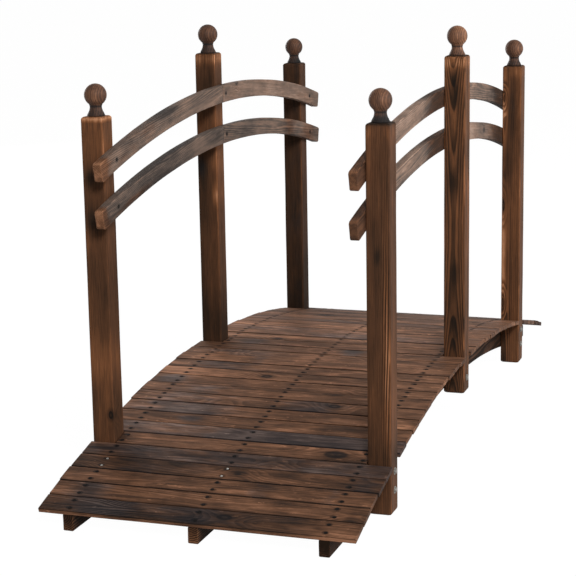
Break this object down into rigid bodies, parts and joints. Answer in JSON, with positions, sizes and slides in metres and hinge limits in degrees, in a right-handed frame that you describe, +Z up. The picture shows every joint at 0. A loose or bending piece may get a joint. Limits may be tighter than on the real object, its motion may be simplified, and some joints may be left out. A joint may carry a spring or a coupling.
{
  "type": "arched garden moon bridge",
  "caption": "Low arched timber garden footbridge: slatted deck on curved stringers, square posts with ball finials and curved side rails.",
  "frame": {"origin": "on the ground, below the middle of the deck", "axes": "+X across the bridge to the right seen from the front, +Y along the bridge to the back, +Z up"},
  "size_m": [0.67, 1.8692, 0.9466],
  "materials": {
    "deck_wood": "scorched and brown-stained softwood, satin, dark grain",
    "stringer_wood": "scorched and brown-stained softwood, satin",
    "post_wood": "scorched and brown-stained softwood, satin, dark grain",
    "rail_wood": "scorched, brushed and brown-stained softwood, greyed, satin",
    "finial_wood": "turned, scorched and brown-stained softwood, satin"
  },
  "bodies": {
    "root": {"left_stringer": "stringer_wood", "centre_stringer": "stringer_wood", "right_stringer": "stringer_wood", "front_ramp_slats": "deck_wood", "front_post_slat": "deck_wood", "front_bay_slats": "deck_wood", "middle_post_slat": "deck_wood", "back_bay_slats": "deck_wood", "back_post_slat": "deck_wood", "back_ramp_slats": "deck_wood", "front_left_post": "post_wood", "middle_left_post": "post_wood", "back_left_post": "post_wood", "front_right_post": "post_wood", "middle_right_post": "post_wood", "back_right_post": "post_wood", "front_left_finial": "finial_wood", "middle_left_finial": "finial_wood", "back_left_finial": "finial_wood", "front_right_finial": "finial_wood", "middle_right_finial": "finial_wood", "back_right_finial": "finial_wood", "front_left_upper_rail": "rail_wood", "back_left_upper_rail": "rail_wood", "front_left_lower_rail": "rail_wood", "back_left_lower_rail": "rail_wood", "front_right_upper_rail": "rail_wood", "back_right_upper_rail": "rail_wood", "front_right_lower_rail": "rail_wood", "back_right_lower_rail": "rail_wood"}
  },
  "joints": []
}
